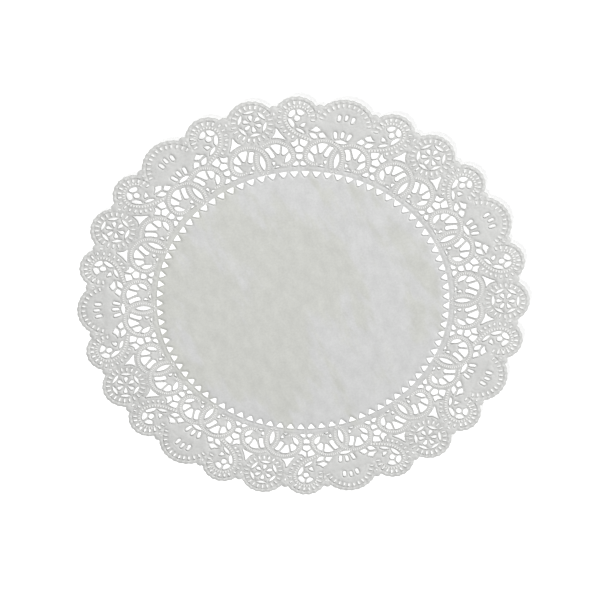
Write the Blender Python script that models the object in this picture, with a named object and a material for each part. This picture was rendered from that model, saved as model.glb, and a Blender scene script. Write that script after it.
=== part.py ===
"""A round lace-paper doily, lying flat: one thin sheet of white paper, die-cut and embossed.

The sheet is a single flat curve, its outline with its holes inside, given its thickness. A plain round
middle is edged by a ring of teeth. Outside it come a ring of paired fans, and then rosettes and domed
panels with a scroll on each side of them, whose lobes make the scalloped edge.

Every motif is drawn in millimetres in a frame of its own: y runs outward from the middle of the sheet,
and x runs clockwise across it. Turned and mirrored copies of the frames give the rest of the sheet.
"""

import math
from typing import NamedTuple

import bpy

MM = 0.001

# The sheet
SHEET_THICKNESS = 1.0
PAPER_COLOUR = (0.66, 0.66, 0.63, 1.0)
PAPER_ROUGHNESS = 0.85

# How often each motif comes round
ROSETTES = 7
FAN_PAIRS = 14
TEETH = 84

# Directions of the frames, in degrees clockwise from the axis of a rosette
SCROLL_TURN = 11.0
GROUND_TURN = 180.0 / FAN_PAIRS
PANEL_TURN = 180.0 / ROSETTES

# Teeth: notches that point at the middle of the sheet
TOOTH_BASE_RADIUS = 82.6
TOOTH_POINT_RADIUS = 79.2
TOOTH_WIDTH = 4.9

# Pointed oval between the two fans of a pair
OVAL_MIDDLE_RADIUS = 90.2
OVAL_HALF_LENGTH = 4.9
OVAL_HALF_WIDTH = 1.45
OVAL_STEPS = 5

# Corners of a hole sharper than this are cut back by this much
SHARP_CORNER = 112.0
CORNER_CUT = 0.55


class Gap(NamedTuple):
    """A hole, by the corners of its outline before they are cut back."""

    name: str
    corners: tuple


class Lobe(NamedTuple):
    """A round lobe of the edge: its frame's turn, its circle in that frame, and the points on its arc."""

    name: str
    turn: float
    middle: tuple
    radius: float
    steps: int


# A fan, right of its pair's axis. Its ribs spread from a leaf at its lower middle.
FAN_GAPS = (
    Gap("beside the oval", ((2.7, 97.6), (5.4, 98.4), (7.7, 92.4), (6.0, 91.4), (4.9, 91.8), (4.4, 94.8))),
    Gap("at the top", ((6.1, 98.9), (9.2, 99.3), (12.1, 98.2), (10.3, 93.2), (9.0, 93.1))),
    Gap("at the side", ((12.7, 97.6), (15.4, 95.4), (15.3, 93.4), (12.2, 91.5), (11.2, 92.7))),
    Gap("crescent", ((15.6, 92.7), (16.2, 90.4), (14.8, 88.2), (11.4, 87.1), (13.0, 90.7))),
)

# The ground between two pairs of fans, in a frame on its own axis. The upper gap on the rosette's side is
# narrowed by the end of the scroll, which the other one lies clear of.
GROUND_GAPS = (
    Gap("upper, by the rosette", ((-4.9, 99.9), (-2.7, 100.0), (-0.8, 102.7), (-0.5, 98.4), (-3.0, 96.9))),
    Gap("upper, by the panel", ((0.6, 101.9), (5.0, 100.2), (3.1, 96.9), (0.5, 98.5))),
    Gap("five-sided", ((0.0, 98.0), (2.4, 96.4), (1.8, 93.9), (-1.8, 93.9), (-2.4, 96.4))),
)

# Beside the foot of a rosette, in the rosette's frame
STAR_GAP = Gap("star", ((12.2, 108.4), (13.5, 104.6), (15.4, 100.7), (12.2, 102.7), (8.7, 103.4), (11.0, 105.4)))

# Under a panel, and beside its foot on the side of the scroll before it, in the panel's frame
KITE_GAP = Gap("kite", ((-11.9, 106.5), (-14.8, 108.4), (-16.2, 106.8), (-18.6, 105.6), (-14.1, 105.4)))
BROW_GAP = Gap("brow", ((-3.7, 101.6), (-1.9, 102.5), (0.0, 102.8), (1.9, 102.5), (3.7, 101.6), (0.0, 100.6)))

# One repeat of the edge, clockwise from a rosette
EDGE_LOBES = (
    Lobe("rosette", 0.0, (0.0, 114.4), 13.5, 11),
    Lobe("bead by the rosette", 6.6, (0.0, 120.4), 2.1, 3),
    Lobe("scroll", SCROLL_TURN, (2.8, 114.8), 12.45, 10),
    Lobe("bead by the panel", 18.5, (0.0, 120.4), 2.1, 3),
    Lobe("panel", PANEL_TURN, (0.0, 110.2), 17.2, 13),
)


def to_sheet(point, turn, side=1.0):
    """Takes an (x, y) of a frame, turned clockwise by degrees from +X, to the sheet. Side -1 mirrors it."""
    x, y = point
    angle = -math.radians(turn)
    outward = (math.cos(angle), math.sin(angle))
    clockwise = (math.sin(angle), -math.cos(angle))
    return tuple(y * outward[i] + side * x * clockwise[i] for i in range(2))


def copies(shape, count, turn=0.0, mirrored=False):
    """The shape in each of count frames round the sheet, and its mirror images about their axes."""
    loops = []
    for k in range(count):
        axis = 360.0 * k / count
        loops.append([to_sheet(point, axis + turn) for point in shape])
        if mirrored:
            loops.append([to_sheet(point, axis - turn, -1.0) for point in shape])
    return loops


def corner_angle(before, corner, after):
    """The angle in degrees between the two edges that meet at a corner."""
    back = math.atan2(before[1] - corner[1], before[0] - corner[0])
    ahead = math.atan2(after[1] - corner[1], after[0] - corner[0])
    turn = abs(math.degrees(ahead - back)) % 360.0
    return min(turn, 360.0 - turn)


def cut_back(corners):
    """The corners, each sharp one replaced by a point on each of its edges."""
    points = []
    for i, corner in enumerate(corners):
        before, after = corners[i - 1], corners[(i + 1) % len(corners)]
        if corner_angle(before, corner, after) > SHARP_CORNER:
            points.append(corner)
            continue
        for end in (before, after):
            share = CORNER_CUT / math.dist(corner, end)
            points.append(tuple(corner[j] + share * (end[j] - corner[j]) for j in range(2)))
    return points


def tooth():
    """A triangular notch that stands on the ring and points at the middle of the sheet."""
    half = TOOTH_WIDTH / 2
    return [(-half, TOOTH_BASE_RADIUS), (half, TOOTH_BASE_RADIUS), (0.0, TOOTH_POINT_RADIUS)]


def pointed_oval():
    """Two equal arcs from tip to tip along y, from their length and their width."""
    radius = (OVAL_HALF_LENGTH**2 + OVAL_HALF_WIDTH**2) / (2 * OVAL_HALF_WIDTH)
    sweep = math.asin(OVAL_HALF_LENGTH / radius)
    right_side = []
    for k in range(OVAL_STEPS):
        angle = sweep * (2 * k / OVAL_STEPS - 1)
        right_side.append((radius * (math.cos(angle) - 1) + OVAL_HALF_WIDTH, radius * math.sin(angle)))
    loop = right_side + [(-x, -y) for x, y in right_side]
    return [(x, y + OVAL_MIDDLE_RADIUS) for x, y in loop]


def edge_circles():
    """(middle, radius, steps) of every lobe of the edge, clockwise from +X, in sheet coordinates."""
    there = [(lobe, lobe.turn, 1.0) for lobe in EDGE_LOBES]
    back = [(lobe, 2 * PANEL_TURN - lobe.turn, -1.0) for lobe in EDGE_LOBES[-2:0:-1]]
    circles = []
    for k in range(ROSETTES):
        for lobe, turn, side in there + back:
            middle = to_sheet(lobe.middle, 360.0 * k / ROSETTES + turn, side)
            circles.append((middle, lobe.radius, lobe.steps))
    return circles


def meeting(first, second):
    """The outer one of the two points where two circles, given as (middle, radius, steps), cross."""
    (ax, ay), a_radius = first[:2]
    (bx, by), b_radius = second[:2]
    gap = math.dist((ax, ay), (bx, by))
    along = (gap**2 + a_radius**2 - b_radius**2) / (2 * gap)
    across = math.sqrt(a_radius**2 - along**2)
    ux, uy = (bx - ax) / gap, (by - ay) / gap
    crossings = [(ax + along * ux - s * across * uy, ay + along * uy + s * across * ux) for s in (1, -1)]
    return max(crossings, key=lambda point: math.hypot(*point))


def outline():
    """The scalloped edge: on each lobe the arc, clockwise, from the lobe before it to the one after."""
    circles = edge_circles()
    points = []
    for i, circle in enumerate(circles):
        (cx, cy), radius, steps = circle
        starts = meeting(circles[i - 1], circle)
        ends = meeting(circle, circles[(i + 1) % len(circles)])
        start = math.atan2(starts[1] - cy, starts[0] - cx)
        sweep = (start - math.atan2(ends[1] - cy, ends[0] - cx)) % (2 * math.pi)
        for step in range(steps):
            angle = start - sweep * step / steps
            points.append((cx + radius * math.cos(angle), cy + radius * math.sin(angle)))
    return points


def holes():
    """Every hole of the sheet, each as a loop of points."""
    loops = copies(tooth(), TEETH, turn=180.0 / TEETH)
    loops += copies(pointed_oval(), FAN_PAIRS)
    for gap in FAN_GAPS:
        loops += copies(cut_back(gap.corners), FAN_PAIRS, mirrored=True)
    for gap in GROUND_GAPS:
        loops += copies(cut_back(gap.corners), ROSETTES, turn=GROUND_TURN, mirrored=True)
    loops += copies(cut_back(STAR_GAP.corners), ROSETTES, mirrored=True)
    loops += copies(cut_back(KITE_GAP.corners), ROSETTES, turn=PANEL_TURN, mirrored=True)
    loops += copies(cut_back(BROW_GAP.corners), ROSETTES, turn=PANEL_TURN)
    return loops


def paper():
    """Matt white paper."""
    material = bpy.data.materials.new("white_paper")
    material.use_nodes = True
    shader = material.node_tree.nodes["Principled BSDF"]
    shader.inputs["Base Color"].default_value = PAPER_COLOUR
    shader.inputs["Roughness"].default_value = PAPER_ROUGHNESS
    shader.inputs["Metallic"].default_value = 0.0
    material.diffuse_color = PAPER_COLOUR
    return material


def sheet(collection):
    """The doily: a filled flat curve of the outline and the holes, as thick as the sheet, standing on z = 0."""
    curve = bpy.data.curves.new("doily", "CURVE")
    curve.dimensions = "2D"
    curve.fill_mode = "BOTH"
    curve.extrude = SHEET_THICKNESS / 2 * MM
    for loop in [outline()] + holes():
        spline = curve.splines.new("POLY")
        spline.points.add(len(loop) - 1)
        for point, (x, y) in zip(spline.points, loop):
            point.co = (x * MM, y * MM, 0.0, 1.0)
        spline.use_cyclic_u = True
    curve.materials.append(paper())
    doily = bpy.data.objects.new("doily", curve)
    doily.location.z = SHEET_THICKNESS / 2 * MM
    collection.objects.link(doily)


def main():
    for obj in list(bpy.data.objects):
        bpy.data.objects.remove(obj)
    collection = bpy.data.collections.new("lace_doily")
    bpy.context.scene.collection.children.link(collection)
    sheet(collection)


if __name__ == "__main__":
    main()
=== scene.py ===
"""A round doily of embossed, die-cut lace paper, laid flat on a pale floor.

The paper is one closed surface. Its openings are drawn as loops, each in the frame of its own motif, and
its relief is a height over the plane, worked out for all points at once: a pressed cord round every opening
and along every ridge, rows of small beads, and low bosses. Towards its edge the sheet curls up a little.

In a motif's frame, in millimetres, y runs outward from the middle of the sheet and x runs clockwise.
"""

from __future__ import annotations

import logging
import math
from collections.abc import Sequence
from dataclasses import dataclass
from enum import Enum
from functools import cached_property

import bpy
import numpy as np
from mathutils import Matrix, Vector
from mathutils.geometry import delaunay_2d_cdt

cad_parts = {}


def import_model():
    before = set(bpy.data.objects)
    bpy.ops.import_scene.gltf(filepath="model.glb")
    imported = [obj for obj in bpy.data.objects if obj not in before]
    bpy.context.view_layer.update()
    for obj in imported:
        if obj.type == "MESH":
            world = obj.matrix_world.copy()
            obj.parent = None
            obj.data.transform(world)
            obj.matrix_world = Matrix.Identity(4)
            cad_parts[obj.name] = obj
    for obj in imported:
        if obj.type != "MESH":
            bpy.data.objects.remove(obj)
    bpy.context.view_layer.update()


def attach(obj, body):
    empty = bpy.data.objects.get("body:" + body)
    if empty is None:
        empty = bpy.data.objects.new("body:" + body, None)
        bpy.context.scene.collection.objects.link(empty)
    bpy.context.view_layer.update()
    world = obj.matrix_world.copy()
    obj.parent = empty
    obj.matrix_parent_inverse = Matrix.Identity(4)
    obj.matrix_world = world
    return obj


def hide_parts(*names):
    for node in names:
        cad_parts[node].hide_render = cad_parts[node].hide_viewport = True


Pair = tuple[float, float]
Pairs = tuple[Pair, ...]
Triple = tuple[float, float, float]
Points = np.ndarray
Socket = bpy.types.NodeSocket
log = logging.getLogger("doily")

MM = 0.001

# The least length that is divided by, and how near each other, in millimetres, two points are one
TINY = 1e-12
WELD = 1e-6

# Steps, in millimetres, of the outlines before they are eased and of the curves of bands and veins
FINE_STEP = 0.1
BAND_STEP = 0.3
VEIN_STEP = 0.4

# Points on each cubic of a flowing curve, and degrees times millimetres of radius between those of an arc
CUBIC_POINTS = 12
ARC_STEP = 30.0

# The fewest pieces of a closed path, the fewest points of an arc, and the points round a bead
LOOP_PIECES = 6
ARC_POINTS = 8
BEAD_POINTS = 6

# How strongly the cords round the teeth and the slots of the rims are pressed, and those round the dots
SLOT_CORD = 0.75
DOT_CORD = 0.5


class Round(Enum):
    """How often a motif comes round the sheet."""

    TEETH = 84
    FAN_PAIRS = 14
    ROSETTES = 7


class Press(Enum):
    """The kinds of ridge: how high each is and how much painted shade it gets, both from 0 to about 1."""

    RING = (0.6, 0.06)
    BAND_SIDE = (0.8, 0.12)
    BAND_BED = (0.0, 0.95)
    WHEEL = (0.7, 0.2)
    FLUTE = (0.8, 0.2)
    RIM = (1.3, 0.12)
    DOME = (0.35, 0.05)
    VEIN = (0.3, 0.08)


# Directions of the motifs, in degrees clockwise from the axis of a rosette
SCROLL_TURN = 11.0
GROUND_TURN = 180.0 / Round.FAN_PAIRS.value
PANEL_TURN = 180.0 / Round.ROSETTES.value


@dataclass(frozen=True)
class Frame:
    """The frame of one copy of a motif: turned clockwise from +X, in degrees, and mirrored if side is -1."""

    turn: float
    side: float = 1.0

    def mirrored(self) -> Frame:
        """The frame's mirror image about its own axis."""
        return Frame(self.turn, -self.side)

    def place(self, points: Points) -> Points:
        """Takes frame points to the sheet: y along the frame's axis, x times side clockwise of it.

        Args:
            points: n by 2, in the frame.

        Returns:
            n by 2, on the sheet.
        """
        angle = -math.radians(self.turn)
        outward = np.array((math.cos(angle), math.sin(angle)))
        clockwise = np.array((math.sin(angle), -math.cos(angle)))
        return points[:, 1:] * outward + self.side * points[:, :1] * clockwise


def frames(count: Round, turn: float = 0.0, mirrored: bool = False) -> list[Frame]:
    """The frames of a motif that comes round the sheet.

    Args:
        count: how often it comes round.
        turn: its direction in each repeat, in degrees clockwise.
        mirrored: whether each repeat has its mirror image too.

    Returns:
        Its frames, clockwise.
    """
    step = 360.0 / count.value
    found = [Frame(step * k + turn) for k in range(count.value)]
    if mirrored:
        found += [Frame(step * k - turn, -1.0) for k in range(count.value)]
    return found


def unit(ways: Points) -> Points:
    """Each vector over its length."""
    return ways / np.maximum(np.hypot(*ways.T), TINY)[:, None]


def along(path: Points, step: float, closed: bool = False) -> Points:
    """Points at even steps of length along a path of straight pieces.

    Args:
        path: n by 2.
        step: the wanted distance between points, which is fitted to the whole length.
        closed: whether the last point leads back to the first.

    Returns:
        m by 2. A closed path's first point isn't repeated at its end.
    """
    line = np.vstack((path, path[:1])) if closed else path
    length = np.concatenate(([0.0], np.cumsum(np.hypot(*np.diff(line, axis=0).T))))
    parts = max(LOOP_PIECES if closed else 1, round(length[-1] / step))
    at = np.linspace(0.0, length[-1], parts + 1)
    if closed:
        at = at[:-1]
    return np.stack([np.interp(at, length, line[:, i]) for i in range(2)], axis=1)


def eased(corners: Points, ease: float) -> Points:
    """A closed outline with its corners eased, as by a running mean along it.

    The outline is walked in fine steps as complex numbers, and its higher frequencies are damped by a bell
    curve, which is the same as averaging each point with its neighbours within about `ease`.

    Args:
        corners: n by 2.
        ease: the reach of the mean, in millimetres.

    Returns:
        The fine points of the eased outline.
    """
    fine = along(corners, FINE_STEP, closed=True)
    loop = fine[:, 0] + 1j * fine[:, 1]
    span = np.hypot(*np.diff(np.vstack((fine, fine[:1])), axis=0).T).mean()
    wave = 2 * math.pi * np.fft.fftfreq(len(loop), span)
    loop = np.fft.ifft(np.fft.fft(loop) * np.exp(-((wave * ease) ** 2) / 2))
    return np.stack((loop.real, loop.imag), axis=1)


def flowing(knots: Pairs, step: float) -> Points:
    """A smooth curve through knots: between two, a cubic whose slopes are those of the chords past them.

    Args:
        knots: (x, y) of each.
        step: the distance between the points returned.

    Returns:
        Points at even steps along the curve.
    """
    through = np.array(knots)
    padded = np.vstack((2 * through[0] - through[1], through, 2 * through[-1] - through[-2]))
    t = np.linspace(0.0, 1.0, CUBIC_POINTS, endpoint=False)[None, :, None]
    p0, p1, p2, p3 = (padded[i : len(padded) - 3 + i, None, :] for i in range(4))
    square, cube = 2 * p0 - 5 * p1 + 4 * p2 - p3, 3 * p1 - p0 - 3 * p2 + p3
    cubic = 2 * p1 + (p2 - p0) * t + square * t**2 + cube * t**3
    return along(np.vstack((cubic.reshape(-1, 2) / 2, through[-1:])), step)


def arc(middle: Pair, radius: float, start: float, end: float) -> Points:
    """A circle's arc: the middle plus radius times (cos, sin) of angles from start to end.

    Args:
        middle: the circle's middle.
        radius: its radius.
        start: the first angle, in degrees anticlockwise from +x.
        end: the last one.

    Returns:
        n by 2.
    """
    count = max(ARC_POINTS, int(abs(end - start) * radius / ARC_STEP))
    angles = np.radians(np.linspace(start, end, count))
    return np.array(middle) + radius * np.stack((np.cos(angles), np.sin(angles)), axis=1)


def beside(path: Points, offset: float, closed: bool = False) -> Points:
    """A row beside a path: each point moved to the right of the way the path runs there.

    Args:
        path: n by 2.
        offset: how far to the right.
        closed: whether the last point leads back to the first.

    Returns:
        n by 2.
    """
    way = np.roll(path, -1, axis=0) - np.roll(path, 1, axis=0) if closed else np.gradient(path, axis=0)
    way = unit(way)
    return path + offset * np.stack((way[:, 1], -way[:, 0]), axis=1)


def distances(points: Points, path: Points, closed: bool) -> np.ndarray:
    """The distance of each point from a path: the least of those from its straight pieces.

    Args:
        points: n by 2.
        path: m by 2.
        closed: whether the last point of the path leads back to the first.

    Returns:
        n distances.
    """
    ends = np.roll(path, -1, axis=0) if closed else path[1:]
    starts = path if closed else path[:-1]
    way = ends - starts
    off = points[:, None, :] - starts
    share = ((off * way).sum(-1) / np.maximum((way * way).sum(-1), TINY)).clip(0, 1)
    off -= share[..., None] * way
    return np.sqrt((off * off).sum(-1).min(1))


def inside(points: Points, loop: Points) -> np.ndarray:
    """Whether each point is inside a loop: a ray from it in +x crosses the loop an odd number of times.

    Args:
        points: n by 2.
        loop: m by 2.

    Returns:
        n truths.
    """
    ends = np.roll(loop, -1, axis=0)
    x, y = points[:, :1], points[:, 1:]
    spans = (loop[:, 1] > y) != (ends[:, 1] > y)
    rise = ends[:, 1] - loop[:, 1]
    slope = (ends[:, 0] - loop[:, 0]) / np.where(rise == 0.0, TINY, rise)
    return ((spans & (x < loop[:, 0] + (y - loop[:, 1]) * slope)).sum(1) % 2).astype(bool)


def turned_left(loop: Points) -> Points:
    """The loop, run anticlockwise: reversed if its signed area is negative."""
    x, y = loop.T
    return loop if (x * np.roll(y, -1) - y * np.roll(x, -1)).sum() > 0 else loop[::-1]


@dataclass(frozen=True)
class Gap:
    """An opening by its corners, which are eased, with how far, and how strongly its cord is pressed."""

    corners: Pairs
    ease: float = 0.3
    cord: float = 1.0

    def loop(self) -> Points:
        """The fine points of its outline."""
        return eased(np.array(self.corners), self.ease)


@dataclass(frozen=True)
class Slot:
    """A slot with round ends, each of its own width, so that it may be shaped as a petal."""

    start: Pair
    end: Pair
    widths: Pair
    cord: float = 1.0

    def loop(self) -> Points:
        """Half a circle round each end, facing away from the other, joined by straight sides.

        Returns:
            The fine points of the outline.
        """
        heading = math.degrees(math.atan2(self.end[1] - self.start[1], self.end[0] - self.start[0]))
        far = arc(self.end, self.widths[1] / 2, heading - 90, heading + 90)
        near = arc(self.start, self.widths[0] / 2, heading + 90, heading + 270)
        return along(np.vstack((far, near)), FINE_STEP, closed=True)


@dataclass(frozen=True)
class Pointed:
    """An opening between two arcs from tip to tip, which bow out alike."""

    tips: tuple[Pair, Pair]
    bow: float
    points: int = 24
    ease: float = 0.15
    cord: float = 1.0

    def loop(self) -> Points:
        """Each side: the chord plus a bow that falls off as a parabola, 4 t (1 - t). The tips are eased.

        Returns:
            The fine points of the outline.
        """
        first, second = (np.array(tip) for tip in self.tips)
        chord = second - first
        across = np.array((chord[1], -chord[0])) / np.hypot(*chord)
        t = np.linspace(0.0, 1.0, self.points, endpoint=False)[:, None]
        there = first + chord * t + across * self.bow * 4 * t * (1 - t)
        back = second - chord * t - across * self.bow * 4 * t * (1 - t)
        return eased(np.vstack((there, back)), self.ease)


Opening = Gap | Slot | Pointed


@dataclass(frozen=True)
class Ridge:
    """A pressed cord along a path."""

    path: Points
    kind: Press


@dataclass(frozen=True)
class Beads:
    """A row of small beads along a path: ellipses with one radius along the path and one across it."""

    path: Points
    pitch: float
    radii: Pair
    height: float = 1.0
    # How strongly a painted highlight lightens each bead
    light: float = 1.0

    def middles(self) -> Points:
        """The middles of the beads."""
        return along(self.path, self.pitch)

    def axes(self) -> tuple[Points, Points]:
        """For each bead, the unit vectors along and across the path over its radii."""
        way = unit(np.gradient(self.middles(), axis=0))
        return way / self.radii[0], np.stack((-way[:, 1], way[:, 0]), axis=1) / self.radii[1]

    def rings(self) -> Points:
        """Points round each bead, on its ellipse.

        Returns:
            n by 2, bead after bead.
        """
        turns = np.arange(BEAD_POINTS) * 2 * math.pi / BEAD_POINTS
        ahead, aside = (axis / (axis * axis).sum(1)[:, None] for axis in self.axes())
        spread = np.cos(turns)[:, None] * ahead[:, None, :] + np.sin(turns)[:, None] * aside[:, None, :]
        return (self.middles()[:, None, :] + spread).reshape(-1, 2)


@dataclass(frozen=True)
class Boss:
    """A low round button, with a soft edge and some lobes."""

    middle: Pair
    radius: float
    height: float = 0.25
    lobes: int = 0
    lobe_depth: float = 0.12

    def reach(self, turns: np.ndarray) -> np.ndarray:
        """Its radius in each direction: a cosine wave, which comes round once for each lobe."""
        return self.radius * (1 + (self.lobe_depth if self.lobes else 0.0) * np.cos(self.lobes * turns))


@dataclass(frozen=True)
class Motif:
    """What a motif punches and presses in its frame, its frames, and how far its openings are drawn in."""

    name: str
    places: list[Frame]
    openings: Sequence[Opening] = ()
    ridges: Sequence[Ridge] = ()
    beads: Sequence[Beads] = ()
    bosses: Sequence[Boss] = ()
    inset: float = 0.0


@dataclass(frozen=True)
class Band:
    """A beaded band: a row of beads on a bed of painted shade between two ridges, along a curve through
    knots.
    """

    knots: Pairs
    ridge_offset: float = 1.18
    pitch: float = 1.22
    radii: Pair = (0.52, 0.7)

    def curve(self) -> Points:
        """The curve."""
        return flowing(self.knots, BAND_STEP)

    def ridges(self) -> list[Ridge]:
        """A ridge to each side of the curve, and the bed, which isn't raised and only gets painted shade."""
        sides = [Ridge(beside(self.curve(), side * self.ridge_offset), Press.BAND_SIDE) for side in (-1, 1)]
        return [*sides, Ridge(self.curve(), Press.BAND_BED)]

    def beads(self) -> Beads:
        """The row of beads on the curve."""
        return Beads(self.curve(), self.pitch, self.radii)


@dataclass(frozen=True)
class Rim:
    """The rim of a lobe: on arcs about its middle, a ridge over its slots and soft bumps outside that."""

    middle: Pair
    ridge_radius: float
    bead_radius: float
    reach: Pair
    pitch: float
    bead_radii: Pair = (0.75, 0.75)
    bead_height: float = 0.5
    # The bumps get a faint painted highlight
    bead_highlight: float = 0.2

    def ridge(self) -> Ridge:
        """The ridge."""
        return Ridge(arc(self.middle, self.ridge_radius, *self.reach), Press.RIM)

    def beads(self) -> Beads:
        """The bumps."""
        path = arc(self.middle, self.bead_radius, *self.reach)
        return Beads(path, self.pitch, self.bead_radii, self.bead_height, self.bead_highlight)


def slot_along(middle: Pair, way: Pair, half: float, width: float) -> Slot:
    """A slot of a rim, half to each side of its middle along a way, with its round ends outside that."""
    x, y = (way[i] / math.hypot(*way) * half for i in range(2))
    return Slot((middle[0] - x, middle[1] - y), (middle[0] + x, middle[1] + y), (width, width), SLOT_CORD)


def flutes(feet: Points, ways: Points, reach: Pair) -> list[Ridge]:
    """Ridges between the slots of a rim, each along its unit way over a reach measured from its foot."""
    paths = np.stack([feet + distance * ways for distance in reach], axis=1)
    return [Ridge(path, Press.FLUTE) for path in paths]


@dataclass(frozen=True)
class ToothedRing:
    """The ring round the plain middle: teeth cut inward from it, and two ridges."""

    base_radius: float = 82.55
    base_bow: float = 0.1
    point_radius: float = 79.15
    point_half: float = 0.3
    half: float = 2.5
    ease: float = 0.32
    ridge_radii: Pair = (83.45, 84.95)
    inset: float = 0.08

    def motifs(self) -> list[Motif]:
        """The teeth, and the ridges as arcs that meet at the repeats.

        Returns:
            The two motifs.
        """
        corners = (
            (-self.half, self.base_radius),
            (0.0, self.base_radius + self.base_bow),
            (self.half, self.base_radius),
            (self.point_half, self.point_radius),
            (-self.point_half, self.point_radius),
        )
        tooth = Gap(corners, self.ease, SLOT_CORD)
        step = 360.0 / Round.FAN_PAIRS.value
        arcs = [Ridge(arc((0.0, 0.0), r, 90 - step / 2, 90 + step / 2), Press.RING) for r in self.ridge_radii]
        return [
            Motif("teeth", frames(Round.TEETH, 180.0 / Round.TEETH.value), [tooth], inset=self.inset),
            Motif("ring", frames(Round.FAN_PAIRS), ridges=arcs),
        ]


@dataclass(frozen=True)
class FanPair:
    """Two crossing fans, each a beaded band that curls in to a palm with ribs. The left band passes over."""

    oval: Pointed = Pointed(((0.0, 85.3), (0.0, 95.1)), 1.42)
    gaps: tuple[Gap, ...] = (
        # beside the oval
        Gap((
            (2.75, 97.6), (4.0, 98.25), (5.35, 98.5), (6.5, 96.0), (7.7, 92.5),
            (6.9, 91.75), (6.0, 91.4), (4.9, 91.7), (4.75, 93.5), (4.0, 95.5),
        )),
        # at the top
        Gap((
            (6.2, 99.1), (7.7, 99.45), (9.4, 99.45), (10.9, 99.0), (12.1, 98.3),
            (11.0, 95.6), (10.3, 93.2), (9.0, 93.1), (8.0, 95.3),
        )),
        # at the side
        Gap((
            (12.8, 97.7), (14.3, 96.6), (15.4, 95.2), (15.35, 93.5),
            (12.3, 91.6), (11.2, 92.7), (11.9, 95.0),
        )),
        # crescent
        Gap((
            (15.7, 92.7), (16.2, 90.7), (15.6, 89.1), (14.4, 87.9),
            (12.9, 87.3), (11.3, 87.05), (12.1, 88.7), (13.2, 91.0),
        )),
        # small, by the palm
        Gap(((4.95, 89.7), (6.4, 89.6), (6.9, 88.4), (5.3, 86.8))),
        # at the base
        Gap(((5.5, 85.55), (7.4, 87.0), (9.3, 85.5))),
    )
    palm: Boss = Boss((9.7, 90.0), 2.9, height=0.3, lobes=7)
    band: Pairs = (
        (-0.6, 82.9), (-1.9, 85.2), (-2.85, 87.8), (-3.15, 90.6), (-2.8, 93.5), (-1.8, 96.2), (-0.2, 98.2),
        (2.1, 99.9), (4.9, 101.0), (7.9, 101.2), (10.9, 100.5), (13.7, 98.8), (15.9, 96.2), (17.1, 93.1),
        (17.2, 90.2), (16.1, 87.9), (14.2, 86.5), (12.0, 86.05), (10.0, 86.6),
    )
    # The knots of the right band where it goes under the left one, and where it comes out
    hidden: tuple[int, int] = (5, 7)
    inset: float = 0.17

    def motifs(self) -> list[Motif]:
        """The gaps, the left band, which runs through, and the right one in two stretches.

        Returns:
            The four motifs.
        """
        start, end = self.hidden
        through = Band(self.band)
        below, above = Band(self.band[: start + 1]), Band(self.band[end:])
        right = frames(Round.FAN_PAIRS)
        left = [place.mirrored() for place in right]
        return [
            Motif("ovals", right, [self.oval], inset=self.inset),
            Motif("fans", right + left, self.gaps, bosses=[self.palm], inset=self.inset),
            Motif("bands over", left, (), through.ridges(), [through.beads()]),
            Motif("bands under", right, (), below.ridges() + above.ridges(), [below.beads(), above.beads()]),
        ]


@dataclass(frozen=True)
class Ground:
    """The net of bars between two pairs of fans."""

    gaps: tuple[Gap, ...] = (
        # upper, by the rosette
        Gap(((-4.9, 100.0), (-2.7, 100.1), (-1.5, 101.3), (-0.75, 102.8), (-0.5, 98.4), (-3.0, 96.8))),
        # upper, by the panel
        Gap(((0.6, 102.0), (2.7, 101.3), (5.1, 100.2), (4.0, 98.3), (3.0, 96.8), (0.5, 98.4))),
        # five-sided
        Gap(((0.0, 98.0), (2.4, 96.4), (1.9, 93.9), (-1.9, 93.9), (-2.4, 96.4))),
        # under the cross bar
        Gap(((-1.9, 92.7), (1.9, 92.7), (1.6, 90.3), (0.0, 89.3), (-1.6, 90.3))),
        # at the base
        Gap(((-4.2, 86.1), (-1.7, 88.9), (-0.5, 88.0), (-0.5, 86.2), (-2.2, 85.75))),
        Gap(((4.2, 86.1), (1.7, 88.9), (0.5, 88.0), (0.5, 86.2), (2.2, 85.75))),
    )
    inset: float = 0.12

    def motifs(self) -> list[Motif]:
        """The gaps, on both sides of every rosette."""
        places = frames(Round.ROSETTES, GROUND_TURN, mirrored=True)
        return [Motif("ground", places, self.gaps, inset=self.inset)]


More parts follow.
